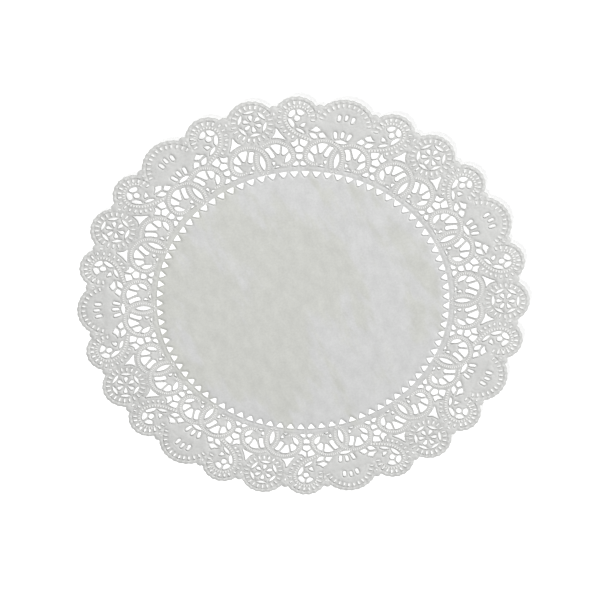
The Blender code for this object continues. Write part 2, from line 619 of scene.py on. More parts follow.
@dataclass(frozen=True)
class Rosette:
    """A wheel: petals, then pointed arcs, then a ring of slots under the edge."""

    middle: Pair = (0.4, 114.4)
    petals: int = 6
    petal_reach: Pair = (1.95, 4.1)
    petal_widths: Pair = (0.7, 2.3)
    arc_tip: Pair = (3.25, 7.0)
    arc_bow: float = 0.8
    hub_radius: float = 1.2
    ring_radius: float = 8.4
    slots: int = 22
    slot_reach: Pair = (9.2, 11.0)
    slot_width: float = 0.88
    flute_reach: Pair = (8.9, 12.9)
    rim_ridge_radius: float = 11.5
    rim_bead_radius: float = 12.4
    rim_slots: int = 9
    star: Gap = Gap(
        (
            (12.2, 108.6), (12.9, 106.3), (13.6, 104.4), (14.5, 102.6), (15.6, 100.6), (14.0, 101.8),
            (12.2, 102.6), (10.5, 103.2), (8.5, 103.4), (10.1, 104.3), (11.0, 105.4), (11.7, 106.8),
        ),
        ease=0.25,
    )
    dot: Slot = Slot((-13.2, 116.5), (-13.4, 117.6), (0.6, 0.6), DOT_CORD)
    inset: float = 0.08
    star_inset: float = -0.13

    def turned(self, x: float, y: float, degrees: float) -> Pair:
        """A point given from the wheel's middle, turned about it and taken to the motif's frame."""
        cos, sin = math.cos(math.radians(degrees)), math.sin(math.radians(degrees))
        return self.middle[0] + x * cos - y * sin, self.middle[1] + x * sin + y * cos

    def spoke(self, reach: Pair, degrees: float) -> tuple[Pair, Pair]:
        """The two ends of a stretch that leads out from the wheel's middle."""
        return self.turned(0, reach[0], degrees), self.turned(0, reach[1], degrees)

    def openings(self) -> list[Opening]:
        """The petals with the arcs over them, and then the slots.

        Returns:
            The openings of the wheel.
        """
        found: list[Opening] = []
        x, y = self.arc_tip
        for k in range(self.petals):
            turn = 360.0 * k / self.petals
            found.append(Slot(*self.spoke(self.petal_reach, turn), self.petal_widths))
            found.append(Pointed((self.turned(x, y, turn), self.turned(-x, y, turn)), self.arc_bow))
        widths = (self.slot_width, self.slot_width)
        for k in range(self.slots):
            turn = 360.0 * (k + 0.5) / self.slots
            found.append(Slot(*self.spoke(self.slot_reach, turn), widths, SLOT_CORD))
        return found

    def motifs(self) -> list[Motif]:
        """The wheel, and beside its foot a star-shaped gap and a dot, both mirrored.

        Returns:
            The two motifs.
        """
        step = 360.0 / self.slots
        half = self.rim_slots / 2 * step
        pitch = 2 * math.pi * self.rim_bead_radius / self.slots
        rim = Rim(self.middle, self.rim_ridge_radius, self.rim_bead_radius, (90 - half, 90 + half), pitch)
        ridges = [Ridge(arc(self.middle, self.ring_radius, 0.0, 360.0), Press.WHEEL), rim.ridge()]
        spokes = [self.spoke(self.flute_reach, step * k) for k in range(self.slots)]
        ridges += [Ridge(np.array(spoke), Press.FLUTE) for spoke in spokes]
        hub = Boss(self.middle, self.hub_radius)
        wheels, both = frames(Round.ROSETTES), frames(Round.ROSETTES, mirrored=True)
        return [
            Motif("rosettes", wheels, self.openings(), ridges, [rim.beads()], [hub], self.inset),
            Motif("stars", both, [self.star, self.dot], inset=self.star_inset),
        ]


@dataclass(frozen=True)
class Scroll:
    """A beaded scroll that curls round an eye, with slots outside it and leaves towards the panel."""

    eye: Pair = (3.0, 114.9)
    eye_hole: Slot = Slot((3.0, 114.05), (3.0, 114.35), (3.0, 3.0))
    band: Band = Band(
        (
            (9.9, 115.6), (9.3, 118.1), (7.7, 120.0), (5.4, 121.15), (2.6, 121.4), (0.0, 120.6),
            (-2.2, 118.9), (-3.4, 117.0), (-3.8, 115.0), (-3.5, 112.9), (-2.4, 110.3), (-0.8, 107.7),
            (1.7, 105.4), (4.7, 103.5), (7.6, 101.8), (9.6, 100.9),
        ),
        pitch=1.6,
        radii=(0.66, 0.8),
    )
    # Of each row of slots: their middles, half their length, their width, and the reach of the flutes
    slots: Pairs = (
        (-3.1, 121.2), (-0.8, 122.8), (2.0, 123.65), (5.0, 123.6), (7.6, 122.6),
        (9.6, 120.8), (11.0, 118.2), (11.7, 115.3), (11.5, 112.5),
    )
    slot_size: Pair = (0.78, 0.88)
    small_slots: Pairs = ((-5.9, 118.9), (-6.5, 115.5), (-6.5, 112.4))
    small_slot_size: Pair = (0.55, 0.82)
    flute_reach: Pair = (-1.3, 2.9)
    tail_slots: Pairs = ((-5.5, 109.5), (-4.0, 106.9), (-2.0, 104.9), (0.1, 103.2))
    tail_slot_size: Pair = (0.5, 0.85)
    tail_flute_reach: Pair = (-1.1, 1.1)
    tail_towards: Pair = (3.5, 110.5)
    rim: Rim = Rim((2.8, 114.8), 10.3, 11.3, reach=(-15.0, 133.0), pitch=3.6)
    leaves: tuple[Boss, ...] = (Boss((7.4, 113.6), 2.4, lobes=3), Boss((8.6, 108.9), 1.9, lobes=3))
    gaps: tuple[Gap, ...] = (
        # between the band and the eye
        Gap((
            (-1.75, 115.9), (-1.0, 117.9), (0.2, 119.1), (1.85, 119.6), (2.05, 118.0),
            (1.95, 116.9), (1.2, 115.8), (0.4, 115.2), (-0.8, 115.1),
        )),
        Gap((
            (3.25, 119.7), (4.9, 119.35), (6.3, 118.3), (7.35, 117.0), (6.6, 116.2),
            (5.4, 115.7), (4.4, 116.2), (3.4, 117.1), (3.15, 118.3),
        )),
        Gap((
            (-2.1, 114.5), (-0.6, 114.3), (0.4, 112.8), (1.35, 110.8),
            (0.8, 108.5), (-0.35, 109.8), (-1.5, 112.0),
        )),
        # under the eye
        Gap(((4.1, 109.7), (5.6, 110.9), (7.5, 111.3), (6.8, 110.0), (6.4, 108.5))),
        Gap((
            (2.0, 108.6), (3.4, 108.1), (4.9, 107.3), (6.2, 105.9),
            (6.7, 104.7), (5.0, 105.4), (3.4, 106.4), (2.3, 107.4),
        )),
        # between the tail and the panel
        Gap((
            (9.1, 106.8), (11.6, 107.4), (13.0, 108.8), (14.6, 107.3),
            (15.5, 106.2), (13.2, 105.2), (11.0, 106.1),
        ), ease=0.25),
        Gap(((8.8, 105.1), (12.4, 104.2), (13.3, 101.6), (11.6, 101.4), (10.3, 102.2)), ease=0.25),
        Gap((
            (14.0, 103.9), (16.35, 105.0), (17.3, 103.4), (18.2, 101.7), (16.3, 101.7), (14.8, 101.7),
        ), ease=0.25),
    )

    def flutes(self, slots: Pairs, towards: Pair, reach: Pair) -> list[Ridge]:
        """A ridge between every two slots that follow each other, in line with a point.

        Args:
            slots: the middles of the slots.
            towards: the point.
            reach: from where to where each ridge runs, measured outward from halfway between its slots.

        Returns:
            The ridges.
        """
        places = np.array(slots)
        middles = (places[1:] + places[:-1]) / 2
        return flutes(middles, unit(middles - np.array(towards)), reach)

    def motifs(self) -> list[Motif]:
        """The scroll with its openings, mirrored on the two sides of every rosette.

        Returns:
            The one motif.
        """
        openings: list[Opening] = [*self.gaps, self.eye_hole]
        for middles, (x, y), size in (
            (self.slots, self.eye, self.slot_size),
            (self.small_slots, self.eye, self.small_slot_size),
            (self.tail_slots, self.tail_towards, self.tail_slot_size),
        ):
            openings += [slot_along(middle, (x - middle[0], y - middle[1]), *size) for middle in middles]
        ridges = [*self.band.ridges(), self.rim.ridge()]
        ridges += self.flutes(self.small_slots[::-1] + self.slots, self.eye, self.flute_reach)
        ridges += self.flutes(self.tail_slots, self.tail_towards, self.tail_flute_reach)
        places = frames(Round.ROSETTES, SCROLL_TURN, mirrored=True)
        beads = [self.band.beads(), self.rim.beads()]
        return [Motif("scrolls", places, openings, ridges, beads, self.leaves)]


@dataclass(frozen=True)
class Panel:
    """A domed panel of plain paper with slots, on a brow-shaped gap."""

    middle: Pair = (0.0, 110.2)
    slots: Pairs = (
        (3.0, 123.65), (5.55, 122.55), (8.05, 121.15), (10.3, 119.05), (12.0, 116.5), (13.3, 114.0),
    )
    slot_half: float = 0.75
    slot_width: float = 0.84
    top_slot: Pairs = ((0.0, 123.35), (0.0, 124.65))
    flute_reach: Pair = (12.2, 17.0)
    rim: Rim = Rim((0.0, 110.2), 15.05, 16.0, reach=(16.0, 164.0), pitch=3.42)
    dome_radii: Pair = (10.4, 11.9)
    dome_reach: Pair = (8.0, 172.0)
    brow: Gap = Gap(
        (
            (-3.8, 101.55), (-1.9, 102.5), (0.0, 102.85), (1.9, 102.5),
            (3.8, 101.55), (1.9, 100.9), (0.0, 100.6), (-1.9, 100.9),
        ),
        ease=0.2,
    )
    middle_slots: tuple[Slot, ...] = (
        Slot((0.0, 115.6), (0.0, 117.6), (1.6, 1.4)),
        Slot((0.0, 104.7), (0.0, 107.1), (1.5, 1.7)),
    )
    side_slots: tuple[Slot, ...] = (
        Slot((3.65, 114.6), (3.95, 116.7), (1.7, 1.7)),
        Slot((3.35, 103.9), (4.15, 106.5), (1.5, 1.7)),
        Slot((15.3, 117.0), (15.5, 118.1), (0.6, 0.6), DOT_CORD),
    )
    veins: tuple[Pairs, ...] = (
        ((0.0, 113.2), (2.4, 111.9), (5.0, 112.1), (7.2, 113.1), (9.2, 112.0)),
        ((7.2, 103.4), (9.6, 105.6), (12.3, 107.7), (15.0, 109.4)),
    )

    def flutes(self) -> list[Ridge]:
        """The ridges right of the axis, each halfway between the rays from the middle to two slots.

        Returns:
            The ridges, from the top down.
        """
        middle = np.array(self.middle)
        top = np.mean(self.top_slot, axis=0)
        rays = unit(np.array((top, *self.slots)) - middle)
        rays = unit(rays[1:] + rays[:-1])
        return flutes(np.tile(middle, (len(rays), 1)), rays, self.flute_reach)

    def motifs(self) -> list[Motif]:
        """The openings on the axis, then those beside it and the veins, mirrored.

        Returns:
            The two motifs.
        """
        x, y = self.middle
        widths = (self.slot_width, self.slot_width)
        slots = [slot_along(at, (at[0] - x, at[1] - y), self.slot_half, self.slot_width) for at in self.slots]
        on_axis = [self.brow, Slot(*self.top_slot, widths, SLOT_CORD), *self.middle_slots]
        ridges = [Ridge(arc(self.middle, r, *self.dome_reach), Press.DOME) for r in self.dome_radii]
        ridges.append(self.rim.ridge())
        beside_axis = [Ridge(flowing(vein, VEIN_STEP), Press.VEIN) for vein in self.veins] + self.flutes()
        places = frames(Round.ROSETTES, PANEL_TURN)
        both = places + [place.mirrored() for place in places]
        return [
            Motif("panels", places, on_axis, ridges, [self.rim.beads()]),
            Motif("sides of the panels", both, [*slots, *self.side_slots], beside_axis),
        ]


@dataclass(frozen=True)
class Lobe:
    """A round lobe of the edge: its frame's turn, its circle in that frame, and its bumps in a full turn."""

    turn: float
    middle: Pair
    radius: float
    bumps: int = 0


@dataclass(frozen=True)
class Edge:
    """The scalloped edge, with a small bump over each slot."""

    lobes: tuple[Lobe, ...] = (
        Lobe(0.0, (0.0, 114.4), 13.75, 22),
        Lobe(6.6, (0.0, 120.4), 2.3),
        Lobe(SCROLL_TURN, (2.8, 114.8), 12.7, 20),
        Lobe(18.5, (0.0, 120.4), 2.3),
        Lobe(PANEL_TURN, (0.0, 110.2), 17.45, 30),
    )
    bump_height: float = 0.4
    directions: int = 9000

    def reach(self, lobe: Lobe, place: Frame, rays: Points) -> np.ndarray:
        """How far each ray from the middle of the sheet reaches in one lobe.

        A ray leaves the lobe's circle at p + sqrt(r^2 - q^2), where p is how far the circle's middle lies
        along the ray and q how far beside it. The bumps are a cosine of the angle about that middle.

        Args:
            lobe: the lobe.
            place: the frame of this copy of it.
            rays: n unit vectors.

        Returns:
            n distances, 0 where the ray misses the lobe.
        """
        middle = place.place(np.array([lobe.middle]))[0]
        ahead = rays @ middle
        aside = rays @ np.array((middle[1], -middle[0]))
        hit = (ahead > 0) & (np.abs(aside) < lobe.radius)
        out = ahead + np.sqrt(np.where(hit, lobe.radius**2 - aside**2, 0.0))
        if lobe.bumps:
            spot = rays * out[:, None] - middle
            about = np.arctan2(spot[:, 1], spot[:, 0]) - math.atan2(middle[1], middle[0])
            out = out + self.bump_height * (np.cos(lobe.bumps * about + math.pi) - 1) / 2
        return np.where(hit, out, 0.0)

    def loop(self, step: float) -> Points:
        """The outline, anticlockwise, at even steps: in each direction, the farthest of the lobes there.

        Args:
            step: the distance between its points.

        Returns:
            n by 2.
        """
        turns = np.linspace(-math.pi, math.pi, self.directions, endpoint=False)
        rays = np.stack((np.cos(turns), np.sin(turns)), axis=1)
        reach = np.zeros(len(rays))
        for repeat in frames(Round.ROSETTES):
            for lobe in self.lobes:
                for side in (1.0, -1.0):
                    place = Frame(repeat.turn + side * lobe.turn, side)
                    reach = np.maximum(reach, self.reach(lobe, place, rays))
        return along(rays * reach[:, None], step, closed=True)


@dataclass(frozen=True)
class Cords:
    """The profile of a pressed cord, whose crest is a little in from a rim, or on a ridge's line."""

    rim_to_crest: float = 0.42
    spread: float = 0.32
    height: float = 0.45
    # How much painted shade darkens the cord
    painted_shade: float = 0.05

    def bell(self, off: np.ndarray) -> np.ndarray:
        """The share of its height: a bell curve of the distance from its crest."""
        return np.exp(-((off / self.spread) ** 2))


@dataclass(frozen=True)
class Curl:
    """How the sheet, whose middle lies flat, lifts off the floor towards its edge."""

    start_radius: float = 96.0
    edge_radius: float = 127.0
    most: float = 1.1
    lift: float = 1.9
    power: float = 1.6
    # Of each wave: its direction and width in degrees, and its share of the lift
    waves: tuple[Triple, ...] = ((258.0, 20.0, -0.75), (330.0, 26.0, 0.5), (220.0, 18.0, 0.25))

    def lifts(self, points: Points) -> np.ndarray:
        """The lift of each point: it grows as a power of the way from the start to the edge.

        Each wave, a bell curve about its direction, raises or lowers it by a share.

        Args:
            points: n by 2.

        Returns:
            n lifts.
        """
        way = (np.hypot(*points.T) - self.start_radius) / (self.edge_radius - self.start_radius)
        turns = np.degrees(np.arctan2(points[:, 1], points[:, 0]))
        share = np.ones(len(points))
        for turn, width, amount in self.waves:
            off = (turns - turn + 180) % 360 - 180
            share += amount * np.exp(-((off / width) ** 2))
        return self.lift * way.clip(0, self.most) ** self.power * share


class Relief:
    """Heights, painted shade and painted highlights of the points of the upper face, to which features are
    added one by one.
    """

    # How far from a rim and from a ridge's line a cord still matters
    RIM_MARGIN = 1.6
    RIDGE_MARGIN = 1.2

    def __init__(self, points: Points) -> None:
        """Sorts the points by x, so that those near a feature are found fast.

        Args:
            points: n by 2, in millimetres.
        """
        self.order = np.argsort(points[:, 0], kind="stable")
        self.points = points[self.order]
        self.rim_distance = np.full(len(points), np.inf)
        # Cord heights, painted shade, bead heights, painted highlights and boss heights
        self.cord, self.pressed, self.beads, self.light, self.bosses = np.zeros((5, len(points)))

    def near(self, shape: Points, margin: float) -> np.ndarray:
        """The indices of the sorted points within the box of a shape, widened by a margin.

        Args:
            shape: the shape's points.
            margin: how much wider the box is on each side.

        Returns:
            The indices.
        """
        low, high = shape.min(0) - margin, shape.max(0) + margin
        first, last = np.searchsorted(self.points[:, 0], (low[0], high[0]))
        y = self.points[first:last, 1]
        return first + np.flatnonzero((y > low[1]) & (y < high[1]))

    def in_order(self, values: np.ndarray) -> np.ndarray:
        """Values of the sorted points, in the order that the points were given in.

        Args:
            values: one for each sorted point.

        Returns:
            One for each point as given.
        """
        found = np.empty_like(values)
        found[self.order] = values
        return found

    def lift(self, held: np.ndarray, close: np.ndarray, values: np.ndarray) -> None:
        """Puts values at these indices, where they are larger than those held."""
        held[close] = np.maximum(held[close], values)

    def add_rim(self, loop: Points, cords: Cords, strength: float, closed: bool = True) -> None:
        """Lays a cord along the rim of an opening, or a stretch of the sheet's edge.

        Args:
            loop: the rim.
            cords: the cord's profile.
            strength: how strongly it is pressed.
            closed: whether the last point leads back to the first.
        """
        close = self.near(loop, self.RIM_MARGIN)
        distance = distances(self.points[close], loop, closed)
        if closed:
            distance = np.where(inside(self.points[close], loop), -distance, distance)
        self.rim_distance[close] = np.minimum(self.rim_distance[close], distance)
        cord = strength * cords.bell(distance - cords.rim_to_crest)
        self.lift(self.cord, close, cord)
        # Painted shade along the cord
        self.lift(self.pressed, close, cords.painted_shade * cord)

    def add_ridge(self, ridge: Ridge, place: Frame, cords: Cords) -> None:
        """Lays a cord along a line.

        Args:
            ridge: the line and its kind.
            place: the frame that it is in.
            cords: the cord's profile.
        """
        path = place.place(ridge.path)
        close = self.near(path, self.RIDGE_MARGIN)
        cord = cords.bell(distances(self.points[close], path, closed=False))
        height, painted_shade = ridge.kind.value
        self.lift(self.cord, close, height * cord)
        # Painted shade along the ridge
        self.lift(self.pressed, close, painted_shade * cord)

    def add_beads(self, row: Beads, place: Frame) -> None:
        """Raises a bead at each place, a cone that falls from 1 at its middle to 0 on its ellipse, and paints
        a highlight of the same shape on it.

        Args:
            row: the beads.
            place: the frame that they are in.
        """
        middles = place.place(row.middles())
        close = self.near(middles, max(row.radii))
        off = self.points[close][:, None, :] - middles
        ahead, aside = ((off * place.place(axis)).sum(-1) for axis in row.axes())
        bead = (1 - np.sqrt((ahead * ahead + aside * aside).min(1))).clip(0)
        self.lift(self.beads, close, bead * row.height)
        # A painted highlight on the bead, in the bead's own shape
        self.lift(self.light, close, bead * row.light)

    def add_boss(self, boss: Boss, place: Frame) -> None:
        """Raises a button: its height times a smooth fall from 1 to 0 over the outer half of its reach.

        Args:
            boss: the button.
            place: the frame that it is in.
        """
        middle = place.place(np.array([boss.middle]))
        close = self.near(middle, boss.radius * (1 + boss.lobe_depth))
        off = self.points[close] - middle
        reach = boss.reach(np.arctan2(off[:, 1], off[:, 0]))
        fall = ((1 - np.hypot(*off.T) / reach) * 2).clip(0, 1)
        self.lift(self.bosses, close, boss.height * fall * fall * (3 - 2 * fall))


def spread_out(points: Points, gap: float, fixed: int) -> np.ndarray:
    """Which points to keep so that none crowd: in each cell of four shifted grids the first one stays.

    Args:
        points: n by 2, the most wanted first.
        gap: the side of a cell.
        fixed: how many of the first points stay in any case.

    Returns:
        Indices of the points kept, in their order.
    """
    row_stride = 1_000_003
    kept = np.arange(len(points))
    for shift in ((0.0, 0.0), (0.5, 0.5), (0.5, 0.0), (0.0, 0.5)):
        cells = np.floor(points[kept] / gap + np.array(shift)).astype(np.int64)
        _, first = np.unique(cells[:, 0] * row_stride + cells[:, 1], return_index=True)
        kept = kept[np.union1d(first, np.arange(fixed))]
    return kept


def net(low: float, high: float, step: float) -> Points:
    """A triangular net of points, in rows that are shifted by half a step.

    Args:
        low: the least radius of a point.
        high: the radius that all points are within.
        step: the distance between points.

    Returns:
        n by 2.
    """
    rows = np.arange(-high, high, step * math.sqrt(3) / 2)
    columns = np.arange(-high, high, step)
    x, y = np.meshgrid(columns, rows)
    x[::2] += step / 2
    found = np.stack((x.ravel(), y.ravel()), axis=1)
    radius = np.hypot(*found.T)
    return found[(radius >= low) & (radius < high)]


class Value:
    """A number that a socket gives, on which Python's operators add Math nodes."""

    def __init__(self, tree: Shading, socket: Socket) -> None:
        """Keeps the tree that the nodes are added to, and the socket."""
        self.tree = tree
        self.socket = socket

    def _with(self, operation: str, first: Value | float, second: Value | float) -> Value:
        """A Math node of this operation on two values or numbers."""
        sockets = {0: getattr(first, "socket", first), 1: getattr(second, "socket", second)}
        return self.tree.value("ShaderNodeMath", {"operation": operation}, sockets)

    def __add__(self, other: Value | float) -> Value:
        """self + other."""
        return self._with("ADD", self, other)

    def __radd__(self, other: float) -> Value:
        """other + self."""
        return self._with("ADD", other, self)

    def __sub__(self, other: Value | float) -> Value:
        """self - other."""
        return self._with("SUBTRACT", self, other)

    def __rsub__(self, other: float) -> Value:
        """other - self."""
        return self._with("SUBTRACT", other, self)

    def __mul__(self, other: Value | float) -> Value:
        """self * other."""
        return self._with("MULTIPLY", self, other)

    def __rmul__(self, other: float) -> Value:
        """other * self."""
        return self._with("MULTIPLY", other, self)

    def limited(self) -> Value:
        """The value, held between 0 and 1."""
        return self._with("MAXIMUM", self._with("MINIMUM", self, 1.0), 0.0)

    def smooth(self, low: float, high: float) -> Value:
        """0 below low and 1 above high, with a smooth step between."""
        sockets = {"Value": self.socket, "From Min": low, "From Max": high}
        return self.tree.value("ShaderNodeMapRange", {"interpolation_type": "SMOOTHSTEP"}, sockets)


@dataclass(frozen=True)
class Grain:
    """Cloudy noise: its axes turned about Z, its scale along each, its detail and its roughness."""

    turn: float
    scales: Triple
    detail: float
    roughness: float


class Shading:
    """A new material, with the few kinds of step in its node tree that the finishes need."""

    def __init__(self, name: str) -> None:
        """Makes the material.

        Args:
            name: its name.
        """
        self.material = bpy.data.materials.new(name)
        self.material.use_nodes = True
        self.tree = self.material.node_tree

    def finished(self, sockets: dict) -> bpy.types.Material:
        """The material, once its shader's own sockets are filled."""
        self.fill(self.tree.nodes["Principled BSDF"], sockets)
        return self.material

    def fill(self, node: bpy.types.Node, sockets: dict) -> None:
        """Gives a value or a link to each socket named or numbered.

        Args:
            node: the node.
            sockets: a value or a link for each of its inputs named or numbered.
        """
        for name, value in sockets.items():
            if isinstance(value, Socket):
                self.tree.links.new(value, node.inputs[name])
            else:
                node.inputs[name].default_value = value

    def node(self, kind: str, settings: dict, sockets: dict, output: int | str = 0) -> Socket:
        """Adds a node.

        Args:
            kind: its type.
            settings: its own settings, which are set first.
            sockets: a value or a link for each input named or numbered.
            output: the output wanted.

        Returns:
            The output.
        """
        made = self.tree.nodes.new(kind)
        for name, value in settings.items():
            setattr(made, name, value)
        self.fill(made, sockets)
        return made.outputs[output]

    def value(self, *node: object) -> Value:
        """Adds a node whose output is a number."""
        return Value(self, self.node(*node))

    def place(self) -> tuple[Socket, Value, Value]:
        """The place on the sheet as a vector, and its x and y.

        Returns:
            The three.
        """
        found = self.node("ShaderNodeTexCoord", {}, {}, "Object")
        axes = self.node("ShaderNodeSeparateXYZ", {}, {0: found}).node.outputs
        return found, Value(self, axes[0]), Value(self, axes[1])

    def noise(self, place: Socket, grain: Grain) -> Value:
        """Cloudy noise from 0 to 1, at a place turned about Z and then scaled along each axis.

        Args:
            place: the place, as a vector.
            grain: the turn, the scales and the kind of the noise.

        Returns:
            The noise.
        """
        rotated = {0: place, "Rotation": (0.0, 0.0, grain.turn)}
        turned = self.node("ShaderNodeMapping", {"vector_type": "POINT"}, rotated)
        scaled = self.node("ShaderNodeVectorMath", {"operation": "MULTIPLY"}, {0: turned, 1: grain.scales})
        sockets = {"Vector": scaled, "Scale": 1.0, "Detail": grain.detail, "Roughness": grain.roughness}
        return self.value("ShaderNodeTexNoise", {}, sockets)

    def attribute(self, name: str) -> Value:
        """A number that the mesh holds at each point."""
        return self.value("ShaderNodeAttribute", {"attribute_name": name}, {}, "Fac")

    def mix(self, share: Value, first: Socket | Triple, second: Socket | Triple) -> Socket:
        """A colour between two.

        Args:
            share: 0 for the first, 1 for the second.
            first: a colour.
            second: another.

        Returns:
            The colour.
        """
        low, high = ((*c, 1.0) if isinstance(c, tuple) else c for c in (first, second))
        # Inputs 6 and 7 and output 2 are the node's colours
        return self.node("ShaderNodeMix", {"data_type": "RGBA"}, {0: share.socket, 6: low, 7: high}, 2)

    def scaled(self, colour: Socket, by: Value) -> Socket:
        """A colour times a number."""
        return self.node("ShaderNodeVectorMath", {"operation": "SCALE"}, {0: colour, "Scale": by.socket})


@dataclass(frozen=True)
class Paper:
    """The paper's finish: white, warm and cool in patches, darker with painted shade along the cords and
    between the beads, and lighter with painted highlights on the beads.
    """

    warm: Triple = (0.635, 0.6405, 0.605)
    cool: Triple = (0.670, 0.673, 0.670)
    lace: Triple = (0.672, 0.674, 0.662)
    # Painted shade laid on the cords and on the beds between the beads
    pressed: Triple = (0.40, 0.40, 0.37)
    # Painted highlight laid on the beads, and how strongly
    bead: Triple = (0.94, 0.94, 0.93)
    highlight_gain: float = 3.2
    # How cool the middle is: the gain on its streaks, the weights of x^2, y^2 and x, and the range it is over
    streak_gain: float = 7.0
    cool_weights: Triple = (60.0, 190.0, 8.0)
    cool_range: Pair = (0.3, 0.95)
    # How much lighter the middle gets along x and y, for each metre, and where it gives way to the lace
    lighter: Pair = (0.12, 0.42)
    lace_radii: Pair = (0.080, 0.090)
    streaks: Grain = Grain(-0.45, (34.0, 13.0, 20.0), 5.0, 0.62)
    wrinkles: Grain = Grain(-0.3, (150.0, 90.0, 120.0), 4.0, 0.6)
    fibres: Grain = Grain(0.0, (900.0, 900.0, 900.0), 4.0, 0.6)
    wrinkle_tone: float = 0.3
    wrinkle_height: float = 0.06
    fibre_tone: float = 0.24
    fibre_height: float = 0.02
    fibre_roughness: float = 0.12
    roughness: float = 0.78
    specular: float = 0.25
    bump: float = 0.5

    def material(self) -> bpy.types.Material:
        """The shader: colour by patches and fibres, painted shade along the cords and painted highlights on
        the beads, with bump from fibres and wrinkles.

        Returns:
            The material.
        """
        tree = Shading("lace_paper")
        tree.material.diffuse_color = (*self.cool, 1.0)
        place, x, y = tree.place()
        grains = (self.streaks, self.wrinkles, self.fibres)
        streaks, wrinkles, fibres = (tree.noise(place, grain) for grain in grains)

        # The paper is cooler in leaning streaks and away from its middle, most of all on the right
        by_xx, by_yy, by_x = self.cool_weights
        cool = (streaks - 0.5) * self.streak_gain + (x * x * by_xx + y * y * by_yy + x * by_x)
        colour = tree.mix(cool.smooth(*self.cool_range), self.warm, self.cool)
        colour = tree.scaled(colour, 1.0 + x * self.lighter[0] + y * self.lighter[1])
        inner, outer = (radius**2 for radius in self.lace_radii)
        colour = tree.mix((x * x + y * y).smooth(inner, outer), colour, self.lace)
        grain = 1.0 + (wrinkles - 0.5) * self.wrinkle_tone + (fibres - 0.5) * self.fibre_tone
        colour = tree.scaled(colour, grain)
        # Painted shade along the cords and between the beads, then painted highlights on the beads
        colour = tree.mix(tree.attribute("pressed").limited(), colour, self.pressed)
        colour = tree.mix((tree.attribute("light") * self.highlight_gain).limited(), colour, self.bead)
        roughness = fibres * self.fibre_roughness + (self.roughness - self.fibre_roughness / 2)
        height = fibres * self.fibre_height + wrinkles * self.wrinkle_height
        bumped = {"Strength": self.bump, "Distance": MM, "Height": height.socket}
        return tree.finished({
            "Base Color": colour,
            "Roughness": roughness.socket,
            "Specular IOR Level": self.specular,
            "Normal": tree.node("ShaderNodeBump", {}, bumped),
        })


